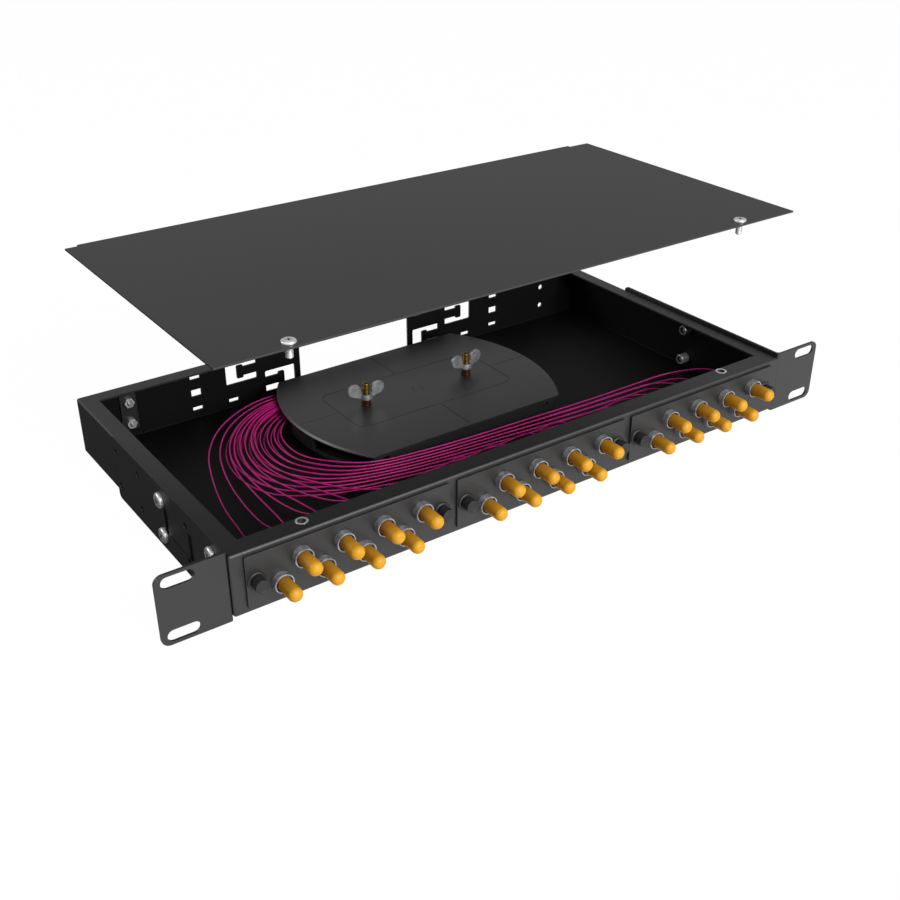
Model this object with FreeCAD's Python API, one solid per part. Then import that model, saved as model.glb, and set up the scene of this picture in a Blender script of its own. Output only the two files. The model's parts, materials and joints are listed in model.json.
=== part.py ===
import FreeCAD, Part
import math
import os

# A 1U rack-mount fibre optic patch panel: a sheet-metal tray between two rack ears, with three
# adapter plates of eight round bulkhead adapters each, a splice tray on two studs, and a lift-off
# cover drawn lifted straight up.
# Millimetres. +X to the right seen from the front, +Y towards the rear, +Z up.
# Origin: centre of the four rack slots, on the rear face of the ears, which meets the rack rail.

V = FreeCAD.Vector

# Rack ears
overall_width = 482.6
ear_height = 42.3
ear_thickness = 1.5
ear_corner_radius = 5.0
ear_bend_radius = 2.0
ear_reach = 37.6
slot_length = 18.0
slot_width = 6.8
slot_edge_distance = 12.4
slot_pitch_z = 31.75
side_plate_length = 150.0
side_plate_corner_radius = 3.0
side_hole_radius = 2.2
side_hole_first_y = 14.6
side_hole_pitch_y = 32.3
side_hole_columns = 5
side_hole_half_pitch_z = 11.45
tongue_front_y = 44.5
tongue_length = 27.5
tongue_slit = 4.5
tongue_height = 16.2
tongue_root_z = 8.5
tongue_gap_below = 0.8
tongue_corner_radius = 0.35

# Tray
chassis_depth = 213.9
chassis_height = 37.9
chassis_drop = 0.25
chassis_proud = 1.08
sheet = 1.2
sheet_bend_radius = 1.6
front_flange = 12.1
side_flange = 10.7
rear_flange = 11.1

# Openings of the back wall, measured from its centre outwards and from the ears' mid-height
rear_window_half_width = 44.9
rear_window_low_z = -13.8
rear_window_high_z = 13.0
rear_window_radius = 1.5
tie_cut_width = 22.7
tie_cut_height = 15.4
tie_cut_radius = 1.0
tie_neck_length = 9.8
tie_neck_height = 6.4
tie_head_width = 4.8
tie_head_height = 9.6
upper_tie_cut_x = 78.5
upper_tie_cut_z = 6.6
lower_tie_cut_x = 49.5
lower_tie_cut_z = -6.1
small_slot_width = 7.0
small_slot_height = 2.6
tall_slot_height = 4.8
outer_slot_x = 123.3
outer_slot_offset_z = 11.4
tall_slot_z = 0.2
middle_slot_x = 97.0
middle_slot_z = -12.8
inner_slot_x = 53.7
inner_slot_z = 13.4

# Adapter plates and their windows
plate_count = 3
plate_gap = 5.1
plate_end_margin = 7.65
plate_height = 31.7
plate_thickness = 1.5
plate_corner_radius = 1.2
window_end_margin = 6.85
window_half_height = 12.4
window_corner_radius = 2.0
port_count = 8
port_row_offset = 5.5
plunger_inset = 5.75
plunger_port_gap = 13.65

# Push-pull plungers that hold the plates
grommet_flange_radius = 5.3
grommet_flange_thickness = 1.0
grommet_radius = 3.0
grommet_bore_radius = 1.8
grommet_tail = 2.0
plunger_head_radius = 4.0
plunger_head_length = 5.3
plunger_neck_radius = 3.1
plunger_neck_length = 0.9
plunger_shank_radius = 1.7
plunger_tail = 1.6
hole_clearance = 0.1

# Bulkhead adapters, one through each port
adapter_thread_radius = 4.7
adapter_thread_front = 2.2
adapter_flange_radius = 5.8
adapter_flange_thickness = 1.8
adapter_barrel_radius = 3.35
adapter_barrel_front = 12.9
adapter_barrel_rear = 10.3
adapter_bore_radius = 1.65
adapter_mouth_radius = 2.3
adapter_mouth_depth = 3.0
lock_nut_radius = 5.65
lock_nut_length = 4.2
lock_nut_chamfer = 0.35
lock_nut_recess_radius = 5.0
lock_nut_recess_depth = 1.8
sleeve_radius = 1.6
sleeve_bore_radius = 1.28
sleeve_length = 14.0

# Dust caps
cap_radius = 4.3
cap_length = 15.9
cap_bore_radius = 3.5
cap_bore_length = 11.5
cap_nose_radius = 3.7
cap_start_gap = 0.3

# Pigtail connectors behind the plates
ferrule_radius = 1.25
ferrule_reach = 9.0
coupling_radius = 4.9
coupling_length = 11.4
coupling_web = 2.1
coupling_gap = 1.4
boot_radius = 2.6
boot_neck_radius = 1.0
boot_grip = 3.0
boot_length = 11.6
pigtail_radius = 0.45

# Machine screws and rivet nuts
m4_radius = 2.0
m4_clearance = 0.25
thread_gap = 0.05
rivet_flange_thickness = 0.6
cover_nut_radius = 2.95
cover_nut_flange_radius = 3.7
cover_nut_length = 8.2
cover_screw_port_offset = 5.7
cover_screw_setback = 8.6
cover_screw_head_radius = 4.0
cover_screw_head_height = 2.2
cover_screw_length = 8.3
ear_nut_radius = 3.5
ear_nut_flange_radius = 4.5
ear_nut_length = 7.5
ear_screw_head_radius = 4.7
ear_screw_head_height = 2.5
ear_screw_length = 7.5
ear_screw_columns = (0, 2)
drive_radius = 1.5
drive_depth = 1.1

# Cover
cover_thickness = 1.0
cover_side_setback = 4.05
cover_front_setback = 2.8
cover_lip_depth = 8.0
cover_lip_clearance = 1.1
cover_lip_left_clearance = 1.6
cover_lip_right_clearance = 10.0
cover_corner_setback = 3.1
cover_seat_gap = 0.02
cover_lift = 100.35

# Cable strength-member clamp on the back wall
clamp_side_distance = 31.7
clamp_width = 11.0
clamp_height = 25.0
clamp_thickness = 1.5
clamp_screw_z = 0.35
clamp_screw_pitch = 14.9
clamp_screw_radius = 1.75
clamp_hole_radius = 1.9
clamp_nut_flats = 6.0
clamp_nut_height = 2.8
clamp_screw_overhang = 1.3
clamp_head_radius = 3.4
clamp_head_height = 2.1

# Splice tray
tray_centre_y = 130.3
tray_half_length = 91.5
tray_half_depth = 62.0
tray_end_radius = 108.0
tray_corner_radius = 2.5
lid_top_z = 0.3
lid_thickness = 2.0
lid_edge_chamfer = 1.1
groove_width = 0.5
groove_depth = 0.3
groove_frame_half_length = 60.5
groove_frame_half_depth = 26.6
groove_frame_radius = 7.0
groove_circle_radius = 4.1
groove_edge_margin = 2.5
base_inset = 2.5
base_wall = 1.6
base_floor = 1.5
base_height = 11.3
entry_low_y = 14.0
entry_corner_margin = 4.0
entry_run = 45.75
entry_sill = 1.0
latch_hole_width = 4.0
latch_hole_height = 2.2
latch_end_distance = 29.5
boss_radius = 6.0
stud_radius = 2.4
stud_half_span = 40.0
stud_top_z = 16.3
stud_dome_radius = 1.7
stud_clearance = 0.2
collar_flange_radius = 3.4
collar_flange_thickness = 0.9
collar_radius = 2.9
collar_height = 4.4

# Splice holder and heat-shrink splice protectors inside the splice tray
comb_slots = 8
comb_layers = 3
comb_pitch = 3.2
comb_wall = 0.8
comb_length = 14.0
comb_height = 8.0
comb_web = 1.2
comb_edge_distance = 27.0
protector_radius = 1.05
protector_length = 60.0

# Wing nuts
wing_body_radius = 4.1
wing_top_radius = 3.7
wing_body_height = 3.6
wing_lobe_radius = 4.5
wing_lobe_reach = 8.1
wing_lobe_lift = 6.8
wing_thickness = 1.8
wing_root_height = 3.6
left_wing_turn = -10.0
right_wing_turn = 4.0

# The row of plates, ports and plungers follows from the rack width
chassis_width = overall_width - 2 * (ear_thickness + ear_reach)
plate_pitch = (chassis_width + plate_gap - 2 * plate_end_margin) / plate_count
plate_width = plate_pitch - plate_gap
plunger_span = plate_width - 2 * plunger_inset
port_pitch = (plunger_span - 2 * plunger_port_gap) / (port_count - 1)
window_half_width = (port_count - 1) * port_pitch / 2 + window_end_margin
slot_half_span = overall_width / 2 - slot_edge_distance
cover_screw_half_span = plate_pitch + 1.5 * port_pitch + cover_screw_port_offset
clamp_x = clamp_side_distance - chassis_width / 2

# Derived planes
front_y = -(ear_thickness + chassis_proud)
back_y = front_y + chassis_depth
top_z = chassis_height / 2 - chassis_drop
bottom_z = top_z - chassis_height
half_width = chassis_width / 2
floor_z = bottom_z + sheet
plate_front_y = front_y - plate_thickness
wall_inner_y = front_y + sheet
side_outer_x = half_width + ear_thickness
lid_bottom_z = lid_top_z - lid_thickness
base_bottom_z = lid_bottom_z - base_height
entry_high_y = tray_half_depth - entry_corner_margin
entry_start_x = tray_half_length - entry_run
latch_hole_x = tray_half_length - latch_end_distance
comb_centre_y = tray_centre_y + tray_half_depth - comb_edge_distance
cover_bottom_z = top_z + cover_seat_gap + cover_lift
cover_top_z = cover_bottom_z + cover_thickness
cover_screw_y = front_y + cover_screw_setback
thread_front_y = plate_front_y - adapter_thread_front
flange_rear_y = front_y + adapter_flange_thickness
connector_y = flange_rear_y + coupling_gap
boot_y = connector_y + coupling_length
boot_end_y = boot_y + boot_length
plate_centres = (-plate_pitch, 0.0, plate_pitch)
X, Y, Z = V(1, 0, 0), V(0, 1, 0), V(0, 0, 1)


def box(x0, x1, y0, y1, z0, z1):
    return Part.makeBox(x1 - x0, y1 - y0, z1 - z0, V(x0, y0, z0))


def rod(start, direction, length, radius):
    return Part.makeCylinder(radius, length, start, direction)


def along(direction):
    """Edges of a box that run along one direction."""
    return lambda edge: abs(edge.tangentAt(edge.FirstParameter).dot(direction)) > 0.999


def rounded_box(x0, x1, y0, y1, z0, z1, radius, direction):
    solid = box(x0, x1, y0, y1, z0, z1)
    return solid.makeFillet(radius, [e for e in solid.Edges if along(direction)(e)])


def turned(profile, origin, direction):
    """A solid of revolution: profile is (distance along, radius) from origin along direction."""
    side = Z if abs(direction.dot(Z)) < 0.5 else X
    points = [origin + direction * a + side * r for a, r in profile]
    face = Part.Face(Part.makePolygon(points + points[:1]))
    return face.revolve(origin, direction, 360)


def prism(points, direction):
    return Part.Face(Part.makePolygon(points + points[:1])).extrude(direction)


def ports():
    """Places of the adapters: (index, x, z), left to right, lower and upper row in turn."""
    found = []
    for centre in plate_centres:
        for i in range(port_count):
            x = centre + (i - (port_count - 1) / 2) * port_pitch
            z = -port_row_offset if i % 2 == 0 else port_row_offset
            found.append((len(found), x, z))
    return found


def plunger_places():
    return [c + s * plunger_span / 2 for c in plate_centres for s in (-1, 1)]


def machine_screw(seat, direction, radius, length, head_radius, head_height):
    """Pan-head screw: seat is under the head, direction points from the head to the tip."""
    profile = [
        (-head_height, 0), (-head_height, 0.55 * head_radius), (-0.55 * head_height, 0.92 * head_radius),
        (-0.25 * head_height, head_radius), (0, head_radius), (0, radius),
        (length - 0.4 * radius, radius), (length, 0.6 * radius), (length, 0),
    ]
    screw = turned(profile, seat, direction)
    recess = Part.makeCone(drive_radius, 0.3 * drive_radius, drive_depth,
                           seat - direction * head_height, direction)
    return screw.cut(recess)


def rivet_nut(face, direction, radius, flange_radius, length):
    """Rivet nut: face is its flush outer end, direction points into the wall."""
    bore = m4_radius + thread_gap
    profile = [
        (0, bore), (0, flange_radius), (rivet_flange_thickness, flange_radius),
        (rivet_flange_thickness, radius), (length - 0.4, radius), (length, radius - 0.4), (length, bore),
    ]
    return turned(profile, face, direction)


def nut_seat(face, direction, radius, flange_radius):
    """The hole and counterbore in the sheet that take a rivet nut."""
    hole = rod(face - direction, direction, sheet + 2, radius)
    return hole.fuse(rod(face - direction, direction, rivet_flange_thickness + 1, flange_radius))


def cover_nut_places():
    return [V(s * cover_screw_half_span, cover_screw_y, top_z) for s in (-1, 1)]


def ear_nut_places(side):
    columns = [side_hole_first_y + c * side_hole_pitch_y for c in ear_screw_columns]
    return [V(side * half_width, y, s * side_hole_half_pitch_z) for y in columns for s in (-1, 1)]


def clamp_heights():
    return [clamp_screw_z + s * clamp_screw_pitch / 2 for s in (-1, 1)]


def tie_cut(x, z, tab_from_inside, side):
    """T-shaped tie-down tab left standing in a rectangular cut-out, mirrored by side."""
    cut = rounded_box(x, x + tie_cut_width, back_y - sheet - 1, back_y + 1,
                      z - tie_cut_height / 2, z + tie_cut_height / 2, tie_cut_radius, Y)
    root = x if tab_from_inside else x + tie_cut_width
    way = 1 if tab_from_inside else -1
    neck_end = root + way * tie_neck_length
    head_end = neck_end + way * tie_head_width
    neck = box(min(root, neck_end), max(root, neck_end), back_y - sheet - 1, back_y + 1,
               z - tie_neck_height / 2, z + tie_neck_height / 2)
    head = rounded_box(min(neck_end, head_end), max(neck_end, head_end), back_y - sheet - 1, back_y + 1,
                       z - tie_head_height / 2, z + tie_head_height / 2, tie_cut_radius, Y)
    cut = cut.cut(neck).cut(head)
    return cut if side > 0 else cut.mirror(V(0, 0, 0), X)


def wall_slot(x, z, height):
    return box(x - small_slot_width / 2, x + small_slot_width / 2, back_y - sheet - 1, back_y + 1,
               z - height / 2, z + height / 2)


def back_wall_cuts():
    cuts = [rounded_box(-rear_window_half_width, rear_window_half_width, back_y - sheet - 1, back_y + 1,
                        rear_window_low_z, rear_window_high_z, rear_window_radius, Y)]
    for side in (-1, 1):
        cuts.append(tie_cut(upper_tie_cut_x, upper_tie_cut_z, True, side))
        cuts.append(tie_cut(lower_tie_cut_x, lower_tie_cut_z, False, side))
        cuts += [wall_slot(side * outer_slot_x, s * outer_slot_offset_z, small_slot_height) for s in (-1, 1)]
        cuts.append(wall_slot(side * outer_slot_x, tall_slot_z, tall_slot_height))
        cuts.append(wall_slot(side * middle_slot_x, middle_slot_z, small_slot_height))
        cuts.append(wall_slot(side * inner_slot_x, inner_slot_z, small_slot_height))
        cuts += [rod(V(side * clamp_x, back_y + 1, z), -Y, sheet + 2, clamp_hole_radius)
                 for z in clamp_heights()]
    return cuts


def front_wall_cuts():
    cuts = [rounded_box(c - window_half_width, c + window_half_width, front_y - 1, wall_inner_y + 1,
                        -window_half_height, window_half_height, window_corner_radius, Y)
            for c in plate_centres]
    cuts += [rod(V(x, front_y - 1, 0), Y, sheet + 2, grommet_radius + hole_clearance)
             for x in plunger_places()]
    return cuts


def chassis_tray():
    outer = box(-half_width, half_width, front_y, back_y, bottom_z, top_z)
    outer = outer.makeFillet(sheet_bend_radius, outer.Edges)
    inner = box(-half_width + sheet, half_width - sheet, wall_inner_y, back_y - sheet, floor_z, top_z - sheet)
    inner = inner.makeFillet(sheet_bend_radius - sheet, inner.Edges)
    mouth = box(-half_width + side_flange, half_width - side_flange, front_y + front_flange,
                back_y - rear_flange, top_z - sheet - 1, top_z + 1)
    cuts = [inner, mouth] + front_wall_cuts() + back_wall_cuts()
    cuts += [nut_seat(p, -Z, cover_nut_radius, cover_nut_flange_radius) for p in cover_nut_places()]
    for side in (-1, 1):
        cuts += [nut_seat(p, -X * side, ear_nut_radius, ear_nut_flange_radius) for p in ear_nut_places(side)]
    return outer.cut(cuts)


def rack_ear(side):
    """Right-hand ear, mirrored for the left: ear plate, bend, and side plate with its holes and tongue."""
    low, high = -ear_height / 2, ear_height / 2
    plate = rounded_box(half_width - ear_corner_radius, overall_width / 2, -ear_thickness, 0,
                        low, high, ear_corner_radius, Y)
    plate = plate.cut(box(half_width - 2 * ear_corner_radius, half_width, -ear_thickness - 1, 1,
                          low - 1, high + 1))
    end_y = side_plate_length - ear_thickness
    side_plate = rounded_box(half_width, side_outer_x, -ear_thickness - side_plate_corner_radius, end_y,
                             low, high, side_plate_corner_radius, X)
    side_plate = side_plate.cut(box(half_width - 1, side_outer_x + 1, -ear_thickness - 10, -ear_thickness,
                                    low - 1, high + 1))
    square = box(half_width, side_outer_x, -ear_thickness, 0, low, high)
    ear = plate.fuse([side_plate, square]).removeSplitter()
    inside = [e for e in ear.Edges if along(Z)(e) and e.Length > ear_height / 2
              and abs(e.CenterOfMass.x - side_outer_x) < 0.01 and abs(e.CenterOfMass.y) < 0.01]
    ear = ear.makeFillet(ear_bend_radius, inside)
    outside = [e for e in ear.Edges if along(Z)(e) and abs(e.CenterOfMass.x - half_width) < 0.01
               and abs(e.CenterOfMass.y + ear_thickness) < 0.01]
    ear = ear.makeFillet(0.9 * ear_thickness, outside)
    cuts = []
    for z in (-slot_pitch_z / 2, slot_pitch_z / 2):
        cuts.append(rounded_box(slot_half_span - slot_length / 2, slot_half_span + slot_length / 2,
                                -ear_thickness - 1, 1, z - slot_width / 2, z + slot_width / 2,
                                0.499 * slot_width, Y))
    for column in range(side_hole_columns):
        y = side_hole_first_y + column * side_hole_pitch_y
        cuts += [rod(V(half_width - 1, y, s * side_hole_half_pitch_z), X, ear_thickness + 2, side_hole_radius)
                 for s in (-1, 1)]
    tip_z = tongue_root_z - tongue_height
    slit = rounded_box(half_width - 1, side_outer_x + 1, tongue_front_y - tongue_slit,
                       tongue_front_y + tongue_length + tongue_slit, tip_z - tongue_gap_below,
                       tongue_root_z, tongue_corner_radius, X)
    tongue = box(half_width - 2, side_outer_x + 2, tongue_front_y, tongue_front_y + tongue_length,
                 tip_z, tongue_root_z + 1)
    cuts.append(slit.cut(tongue))
    ear = ear.cut(cuts)
    return ear if side > 0 else ear.mirror(V(0, 0, 0), X)


def ear_screws():
    screws = []
    for side in (-1, 1):
        for p in ear_nut_places(side):
            seat = V(side * side_outer_x, p.y, p.z)
            screws.append(machine_screw(seat, -X * side, m4_radius, ear_screw_length,
                                        ear_screw_head_radius, ear_screw_head_height))
    return screws


def ear_rivet_nuts():
    return [rivet_nut(p, -X * side, ear_nut_radius, ear_nut_flange_radius, ear_nut_length)
            for side in (-1, 1) for p in ear_nut_places(side)]


def cover_rivet_nuts():
    return [rivet_nut(p, -Z, cover_nut_radius, cover_nut_flange_radius, cover_nut_length)
            for p in cover_nut_places()]


def cover_plate():
    lip_y = back_y - rear_flange - cover_lip_clearance
    left, right = -half_width + cover_side_setback, half_width - cover_side_setback
    lip_left = -half_width + side_flange + cover_lip_left_clearance
    lip_right = half_width - side_flange - cover_lip_right_clearance
    plate = box(left, right, front_y + cover_front_setback, lip_y - cover_corner_setback,
                cover_bottom_z, cover_top_z)
    tongue = box(lip_left, lip_right, lip_y - 2 * cover_corner_setback, lip_y, cover_bottom_z, cover_top_z)
    lip = box(lip_left, lip_right, lip_y - cover_thickness, lip_y,
              cover_bottom_z - cover_lip_depth, cover_top_z)
    cover = plate.fuse([tongue, lip]).removeSplitter()
    bend = [e for e in cover.Edges if along(X)(e) and abs(e.CenterOfMass.z - cover_top_z) < 0.01
            and abs(e.CenterOfMass.y - lip_y) < 0.01]
    cover = cover.makeFillet(0.9 * cover_thickness, bend)
    holes = [rod(V(p.x, p.y, cover_bottom_z - 1), Z, cover_thickness + 2, m4_radius + m4_clearance)
             for p in cover_nut_places()]
    return cover.cut(holes)


def cover_screw(place):
    seat = V(place.x, place.y, cover_top_z)
    return machine_screw(seat, -Z, m4_radius, cover_screw_length,
                         cover_screw_head_radius, cover_screw_head_height)


def cable_clamp():
    inner_y = back_y - sheet
    low = clamp_screw_z - clamp_height / 2
    plate = rounded_box(clamp_x - clamp_width / 2, clamp_x + clamp_width / 2, inner_y - clamp_thickness,
                        inner_y, low, low + clamp_height, tie_cut_radius, Y)
    return plate.cut([rod(V(clamp_x, inner_y + 1, z), -Y, clamp_thickness + 2, clamp_hole_radius)
                      for z in clamp_heights()])


def clamp_screws():
    length = sheet + clamp_thickness + clamp_nut_height + clamp_screw_overhang
    return [machine_screw(V(clamp_x, back_y, z), -Y, clamp_screw_radius, length,
                          clamp_head_radius, clamp_head_height) for z in clamp_heights()]


def clamp_nuts():
    face_y = back_y - sheet - clamp_thickness
    corner = clamp_nut_flats / math.sqrt(3)
    nuts = []
    for z in clamp_heights():
        points = [V(clamp_x + corner * math.cos(math.radians(a)), face_y,
                    z + corner * math.sin(math.radians(a))) for a in range(0, 360, 60)]
        nut = prism(points, -Y * clamp_nut_height)
        nuts.append(nut.cut(rod(V(clamp_x, face_y + 1, z), -Y, clamp_nut_height + 2,
                                clamp_screw_radius + thread_gap)))
    return nuts


def adapter_plate(centre):
    plate = rounded_box(centre - plate_width / 2, centre + plate_width / 2, plate_front_y, front_y,
                        -plate_height / 2, plate_height / 2, plate_corner_radius, Y)
    holes = [rod(V(x, plate_front_y - 1, z), Y, plate_thickness + 2, adapter_thread_radius + hole_clearance)
             for _, x, z in ports() if abs(x - centre) < plate_width / 2]
    holes += [rod(V(centre + s * plunger_span / 2, plate_front_y - 1, 0), Y, plate_thickness + 2,
                  grommet_radius + hole_clearance) for s in (-1, 1)]
    return plate.cut(holes)


def plunger_grommets():
    reach = plate_thickness + sheet + grommet_tail
    profile = [
        (-grommet_flange_thickness, grommet_bore_radius),
        (-grommet_flange_thickness, grommet_flange_radius - 0.3),
        (-grommet_flange_thickness + 0.3, grommet_flange_radius), (0, grommet_flange_radius),
        (0, grommet_radius), (reach, grommet_radius), (reach, grommet_bore_radius),
    ]
    return [turned(profile, V(x, plate_front_y, 0), Y) for x in plunger_places()]


def plunger(x):
    seat_y = plate_front_y - grommet_flange_thickness
    reach = grommet_flange_thickness + plate_thickness + sheet + grommet_tail + plunger_tail
    head_y = -plunger_neck_length - plunger_head_length
    profile = [
        (head_y, 0), (head_y, plunger_head_radius - 0.3), (head_y + 0.3, plunger_head_radius),
        (-plunger_neck_length, plunger_head_radius), (-plunger_neck_length, plunger_neck_radius),
        (0, plunger_neck_radius), (0, plunger_shank_radius), (reach - 0.5, plunger_shank_radius),
        (reach, plunger_shank_radius - 0.5), (reach, 0),
    ]
    return turned(profile, V(x, seat_y, 0), Y)


def adapter_body(x, z):
    """Bulkhead adapter: threaded front, barrel for the plug, flange and rear barrel."""
    front_end = -adapter_thread_front - adapter_barrel_front + plate_thickness
    rear_end = adapter_flange_thickness + adapter_barrel_rear
    thread_end = -plate_thickness - adapter_thread_front
    profile = [
        (front_end, adapter_mouth_radius), (front_end, adapter_barrel_radius),
        (thread_end, adapter_barrel_radius), (thread_end, adapter_thread_radius - 0.4),
        (thread_end + 0.4, adapter_thread_radius), (0, adapter_thread_radius),
        (0, adapter_flange_radius), (adapter_flange_thickness, adapter_flange_radius),
        (adapter_flange_thickness, adapter_barrel_radius), (rear_end, adapter_barrel_radius),
        (rear_end, adapter_bore_radius), (front_end + adapter_mouth_depth, adapter_bore_radius),
        (front_end + adapter_mouth_depth, adapter_mouth_radius),
    ]
    return turned(profile, V(x, front_y, z), Y)


def adapter_lock_nut(x, z):
    """Round ring on the adapter's thread; its front recess clears the dust cap."""
    bore = adapter_thread_radius + thread_gap
    step = lock_nut_length - lock_nut_recess_depth
    profile = [
        (0, bore), (0, lock_nut_radius), (lock_nut_length - lock_nut_chamfer, lock_nut_radius),
        (lock_nut_length, lock_nut_radius - lock_nut_chamfer), (lock_nut_length, lock_nut_recess_radius),
        (step, lock_nut_recess_radius), (step, bore),
    ]
    return turned(profile, V(x, plate_front_y, z), -Y)


def alignment_sleeve(x, z):
    start = plate_front_y - sleeve_length / 2 + plate_thickness / 2
    profile = [(0, sleeve_bore_radius), (0, sleeve_radius), (sleeve_length, sleeve_radius),
               (sleeve_length, sleeve_bore_radius)]
    return turned(profile, V(x, start, z), Y)


def dust_cap(x, z):
    start_y = thread_front_y - cap_start_gap
    outer = rod(V(x, start_y, z), -Y, cap_length, cap_radius)
    nose = [e for e in outer.Edges if abs(e.CenterOfMass.y - start_y + cap_length) < 0.01]
    outer = outer.makeFillet(cap_nose_radius, nose)
    return outer.cut(rod(V(x, start_y + 1, z), -Y, cap_bore_length + 1, cap_bore_radius))


def connector_body(x, z):
    web = coupling_length - coupling_web
    profile = [
        (web - ferrule_reach - coupling_gap, 0), (web - ferrule_reach - coupling_gap, ferrule_radius),
        (web, ferrule_radius), (web, adapter_barrel_radius + hole_clearance),
        (0, adapter_barrel_radius + hole_clearance), (0, coupling_radius - 0.3), (0.3, coupling_radius),
        (coupling_length - 0.3, coupling_radius), (coupling_length, coupling_radius - 0.3),
        (coupling_length, 0),
    ]
    return turned(profile, V(x, connector_y, z), Y)


def connector_boot(x, z):
    profile = [(0, 0), (0, boot_radius), (boot_grip, boot_radius), (boot_length, boot_neck_radius),
               (boot_length, 0)]
    return turned(profile, V(x, boot_y, z), Y)


def lens_outline(inset, z):
    """Splice tray outline: straight long sides, round ends, as a closed wire at height z."""
    length = tray_half_length - inset
    depth = tray_half_depth - inset
    radius = tray_end_radius - inset
    corner = length - radius + math.sqrt(radius ** 2 - depth ** 2)
    right = [V(corner, tray_centre_y - depth, z), V(length, tray_centre_y, z),
             V(corner, tray_centre_y + depth, z)]
    left = [V(-p.x, p.y, z) for p in reversed(right)]
    edges = [Part.Arc(*right).toShape(), Part.LineSegment(right[2], left[0]).toShape(),
             Part.Arc(*left).toShape(), Part.LineSegment(left[2], right[0]).toShape()]
    return Part.Wire(edges)


def lens_solid(inset, low, high, radius):
    solid = Part.Face(lens_outline(inset, low)).extrude(Z * (high - low))
    upright = [e for e in solid.Edges if along(Z)(e)]
    return solid.makeFillet(radius, upright)


def groove(x0, x1, y0, y1):
    return box(x0 - groove_width / 2, x1 + groove_width / 2, tray_centre_y + y0 - groove_width / 2,
               tray_centre_y + y1 + groove_width / 2, lid_top_z - groove_depth, lid_top_z + 1)


def lid_grooves():
    """Rounded frame, centre ring and four straight grooves from the frame towards the edges."""
    long, deep = groove_frame_half_length, groove_frame_half_depth
    cuts = []
    rings = []
    for grow in (groove_width / 2, -groove_width / 2):
        rings.append(rounded_box(-long - grow, long + grow, tray_centre_y - deep - grow,
                                 tray_centre_y + deep + grow, lid_top_z - groove_depth, lid_top_z + 1,
                                 groove_frame_radius + grow, Z))
    cuts.append(rings[0].cut(rings[1]))
    centre = V(0, tray_centre_y, lid_top_z - groove_depth)
    disc = rod(centre, Z, groove_depth + 1, groove_circle_radius)
    cuts.append(disc.cut(rod(centre, Z, groove_depth + 1, groove_circle_radius - groove_width)))
    side_end = tray_half_length - groove_edge_margin
    front_end = tray_half_depth - groove_edge_margin
    cuts += [groove(long, side_end, 0, 0), groove(-side_end, -long, 0, 0),
             groove(0, 0, deep, front_end), groove(0, 0, -front_end, -deep)]
    return cuts


def stud_places(z):
    return [V(s * stud_half_span, tray_centre_y, z) for s in (-1, 1)]


def bevel_profile():
    """Down from the lid's top: a cone that bevels the upper edge of a round end."""
    rim = tray_end_radius - lid_edge_chamfer
    reach = lid_thickness + 1
    return [(-1, 0), (-1, rim - 1), (reach, rim + reach), (reach, 0)]


def splice_tray_lid():
    """Flat lid, bevelled along its round ends only."""
    lid = lens_solid(0, lid_bottom_z, lid_top_z, tray_corner_radius)
    for side in (-1, 1):
        apex = V(side * (tray_half_length - tray_end_radius), tray_centre_y, lid_top_z)
        lid = lid.common(turned(bevel_profile(), apex, -Z))
    holes = [rod(p, Z, lid_thickness + 2, stud_radius + stud_clearance)
             for p in stud_places(lid_bottom_z - 1)]
    return lid.cut(lid_grooves() + holes)


def splice_tray_base():
    outer = lens_solid(base_inset, base_bottom_z, lid_bottom_z, tray_corner_radius)
    inner = lens_solid(base_inset + base_wall, base_bottom_z + base_floor, lid_bottom_z + 1,
                       tray_corner_radius)
    base = outer.cut(inner)
    reach = tray_half_length + 1
    entries = []
    for sx in (-1, 1):
        for sy in (-1, 1):
            x0, x1 = sorted((sx * entry_start_x, sx * reach))
            y0, y1 = sorted((sy * entry_low_y, sy * entry_high_y))
            entries.append(box(x0, x1, tray_centre_y + y0, tray_centre_y + y1,
                               base_bottom_z + base_floor + entry_sill, lid_bottom_z + 1))
    for x in (-latch_hole_x, latch_hole_x):
        entries.append(box(x - latch_hole_width / 2, x + latch_hole_width / 2,
                           tray_centre_y - tray_half_depth, tray_centre_y + tray_half_depth,
                           lid_bottom_z - 2 * latch_hole_height, lid_bottom_z - latch_hole_height))
    base = base.cut(entries)
    base = base.fuse([rod(p, Z, lid_bottom_z - floor_z, boss_radius) for p in stud_places(floor_z)])
    return base.cut([rod(p, Z, stud_top_z - floor_z, stud_radius + stud_clearance)
                     for p in stud_places(floor_z - 1)])


def comb_rows():
    """Slot centres across the tray, from the rear to the front."""
    return [comb_centre_y + ((comb_slots - 1) / 2 - i) * comb_pitch for i in range(comb_slots)]


def comb_floor_z():
    return base_bottom_z + base_floor


def splice_holder():
    """Two combs of upright walls on one web; each slot holds three splice protectors in a stack."""
    width = comb_slots * comb_pitch + comb_wall
    low = comb_floor_z()
    half = protector_length / 2 - 2
    web = box(-half, half, comb_centre_y - width / 2, comb_centre_y + width / 2, low, low + comb_web)
    walls = []
    for i in range(comb_slots + 1):
        y = comb_centre_y - width / 2 + i * comb_pitch
        for x in (-half, half - comb_length):
            walls.append(box(x, x + comb_length, y, y + comb_wall, low + comb_web, low + comb_height))
    return web.fuse(walls)


def splice_slot(index):
    """(slot, layer) of a pigtail's splice: the left plate's on top, the others' in two layers below."""
    if index < port_count:
        return index, comb_layers - 1
    return divmod(index - port_count, comb_layers - 1)


def protector_place(index):
    """Left end of splice protector number index."""
    slot, layer = splice_slot(index)
    z = comb_floor_z() + comb_web + protector_radius * (1 + 2 * layer)
    return V(-protector_length / 2, comb_rows()[slot], z)


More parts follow.
